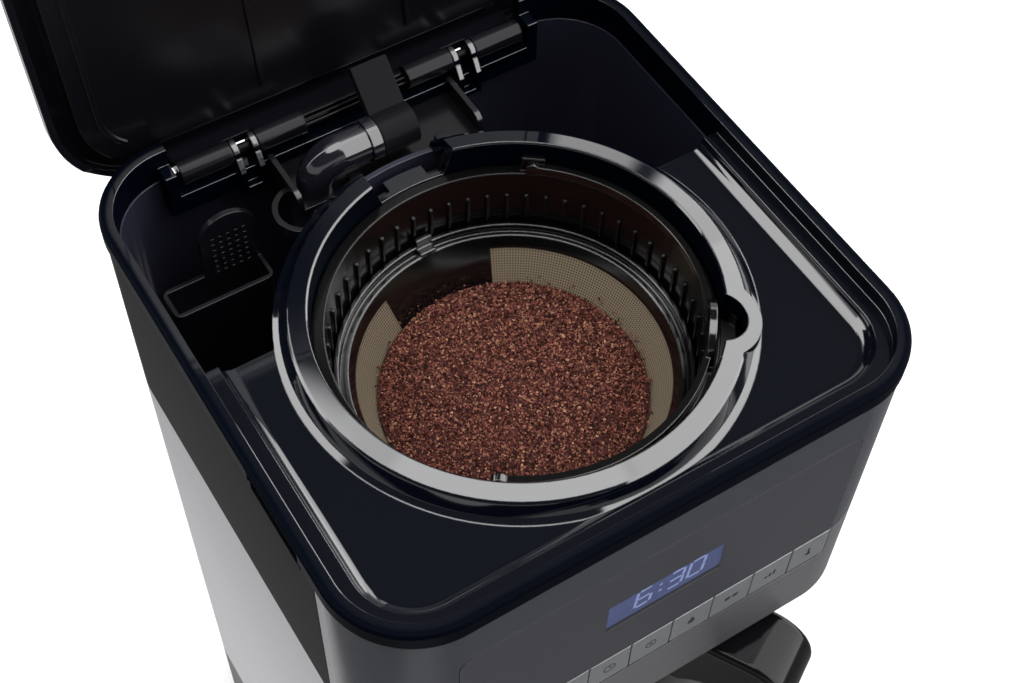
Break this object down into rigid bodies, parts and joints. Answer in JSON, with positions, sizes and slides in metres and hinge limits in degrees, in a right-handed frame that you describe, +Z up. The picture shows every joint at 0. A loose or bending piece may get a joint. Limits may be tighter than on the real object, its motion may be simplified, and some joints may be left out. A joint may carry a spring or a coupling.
{
  "type": "drip coffee maker",
  "caption": "Square countertop drip coffee maker, black and brushed steel, lid open, with lift-out brew basket, permanent filter, water tank and glass carafe",
  "frame": {"origin": "centre of the footprint on the table, under the four feet", "axes": "+Z up, -Y towards the front with the control panel, +X to the right as seen from the front"},
  "size_m": [0.2, 0.2626, 0.534],
  "materials": {
    "black_satin": "satin moulded black",
    "foot_rubber": "matt black rubber",
    "zinc_steel": "bright zinc-plated steel",
    "plate_coating": "dark non-stick coating",
    "seal_rubber": "grey-black silicone",
    "heater_alloy": "as-drawn aluminium",
    "fuse_sleeve": "pale glass-fibre sleeve",
    "hose_rubber": "milky silicone",
    "valve_plastic": "moulded grey-black",
    "brushed_steel": "fine horizontal brushing",
    "band_satin": "satin dark grey",
    "fascia_gloss": "glossy dark grey",
    "panel_satin": "smooth satin grey-black",
    "window_glass": "clear flat window",
    "lcd_blue": "blue back-lit display",
    "board_green": "green solder mask",
    "rim_gloss": "blue-black gloss",
    "chamber_black": "smooth black",
    "tank_black": "smooth dark tank",
    "pipe_plastic": "glossy black tube",
    "bridge_plastic": "moulded black",
    "arm_plastic": "matt dark grey-brown",
    "lid_gloss": "dark grey gloss",
    "liner_satin": "satin black",
    "basket_black": "glossy black",
    "bail_gloss": "glossy black",
    "valve_silicone": "soft red-brown silicone",
    "spring_steel": "drawn stainless wire",
    "filter_plastic": "glossy black",
    "filter_gauze": "fine bronze-coloured weave",
    "ground_coffee": "loose ground coffee",
    "holder_plastic": "smooth dark grey",
    "charcoal": "pale porous pouch",
    "carafe_glass": "clear blown glass",
    "carafe_black": "glossy black",
    "button_silver": "silver-grey satin"
  },
  "bodies": {
    "body": {"back_cover": "black_satin", "base_screws": "zinc_steel", "base_shell": "black_satin", "bottom_cover": "black_satin", "brew_chamber": "chamber_black", "check_valve": "valve_plastic", "column_shell": "black_satin", "control_board": "board_green", "control_panel": "panel_satin", "cord_gland": "foot_rubber", "display_window": "window_glass", "elbow_pipe": "pipe_plastic", "front_fascia": "fascia_gloss", "front_strip": "brushed_steel", "head_shell": "black_satin", "heater_clip": "zinc_steel", "heater_element": "heater_alloy", "hinge_pins": "black_satin", "hot_plate": "plate_coating", "hot_plate_seal": "seal_rubber", "inlet_hose": "hose_rubber", "lcd_module": "lcd_blue", "left_side_panel": "brushed_steel", "pipe_bridge": "bridge_plastic", "right_side_panel": "brushed_steel", "riser_hose": "hose_rubber", "rubber_feet": "foot_rubber", "thermal_fuses": "fuse_sleeve", "thermostat": "zinc_steel", "top_frame": "rim_gloss", "upper_band": "band_satin", "water_tank": "tank_black"},
    "lid": {"lid_shell": "lid_gloss", "lid_liner": "liner_satin", "spray_plate": "liner_satin"},
    "pour_arm": {"outlet_arm": "arm_plastic"},
    "basket": {"brew_basket": "basket_black", "valve_cap": "valve_plastic", "valve_spring": "spring_steel"},
    "bail": {"bail_handle": "bail_gloss"},
    "plunger": {"valve_plunger": "valve_silicone"},
    "filter": {"filter_frame": "filter_plastic", "filter_mesh": "filter_gauze", "coffee_grounds": "ground_coffee"},
    "carafe": {"carafe_glass": "carafe_glass", "carafe_band": "brushed_steel", "carafe_handle": "carafe_black", "carafe_lid": "carafe_black", "carafe_pin": "zinc_steel"},
    "filter_holder": {"water_filter_holder": "holder_plastic", "filter_cartridge": "charcoal"},
    "key_1": {"button_1": "button_silver"},
    "key_2": {"button_2": "button_silver"},
    "key_3": {"button_3": "button_silver"},
    "key_4": {"button_4": "button_silver"},
    "key_5": {"button_5": "button_silver"},
    "key_6": {"button_6": "button_silver"},
    "key_7": {"button_7": "button_silver"},
    "key_8": {"button_8": "button_silver"},
    "key_9": {"button_9": "button_silver"}
  },
  "joints": [
    {"name": "lid_hinge", "type": "hinge", "parent": "body", "child": "lid", "pos_m": [0, 0.0935, 0.344], "axis": [-1, 0, 0], "range_deg": [-98, 0]},
    {"name": "arm_swivel", "type": "hinge", "parent": "body", "child": "pour_arm", "pos_m": [0.00445, 0.074, 0.345], "axis": [-1, 0, 0], "range_deg": [-135, 0]},
    {"name": "basket_lift", "type": "slide", "parent": "body", "child": "basket", "axis": [0, 0, 1], "range_m": [0, 0.13]},
    {"name": "bail_hinge", "type": "hinge", "parent": "basket", "child": "bail", "pos_m": [0, -0.0125, 0.3432], "axis": [-0.6018, -0.7986, 0], "range_deg": [0, 90]},
    {"name": "drip_stop", "type": "slide", "parent": "basket", "child": "plunger", "axis": [0, 0, 1], "range_m": [0, 0.004], "stiffness_N_per_m": 300, "deforming": ["valve_spring"]},
    {"name": "filter_lift", "type": "slide", "parent": "basket", "child": "filter", "axis": [0, 0, 1], "range_m": [0, 0.028]},
    {"name": "carafe_slide", "type": "slide", "parent": "body", "child": "carafe", "axis": [0, -1, 0], "range_m": [0, 0.15]},
    {"name": "holder_lift", "type": "slide", "parent": "body", "child": "filter_holder", "axis": [0, 0, 1], "range_m": [0, 0.1]},
    {"name": "press_1", "type": "slide", "parent": "body", "child": "key_1", "axis": [0, 1, 0], "range_m": [0, 0.0012], "stiffness_N_per_m": 600},
    {"name": "press_2", "type": "slide", "parent": "body", "child": "key_2", "axis": [0, 1, 0], "range_m": [0, 0.0012], "stiffness_N_per_m": 600},
    {"name": "press_3", "type": "slide", "parent": "body", "child": "key_3", "axis": [0, 1, 0], "range_m": [0, 0.0012], "stiffness_N_per_m": 600},
    {"name": "press_4", "type": "slide", "parent": "body", "child": "key_4", "axis": [0, 1, 0], "range_m": [0, 0.0012], "stiffness_N_per_m": 600},
    {"name": "press_5", "type": "slide", "parent": "body", "child": "key_5", "axis": [0, 1, 0], "range_m": [0, 0.0012], "stiffness_N_per_m": 600},
    {"name": "press_6", "type": "slide", "parent": "body", "child": "key_6", "axis": [0, 1, 0], "range_m": [0, 0.0012], "stiffness_N_per_m": 600},
    {"name": "press_7", "type": "slide", "parent": "body", "child": "key_7", "axis": [0, 1, 0], "range_m": [0, 0.0012], "stiffness_N_per_m": 600},
    {"name": "press_8", "type": "slide", "parent": "body", "child": "key_8", "axis": [0, 1, 0], "range_m": [0, 0.0012], "stiffness_N_per_m": 600},
    {"name": "press_9", "type": "slide", "parent": "body", "child": "key_9", "axis": [0, 1, 0], "range_m": [0, 0.0012], "stiffness_N_per_m": 600}
  ],
  "couplings": [
    {"joint": "arm_swivel", "follows": "lid_hinge", "ratio": 1.3776}
  ]
}
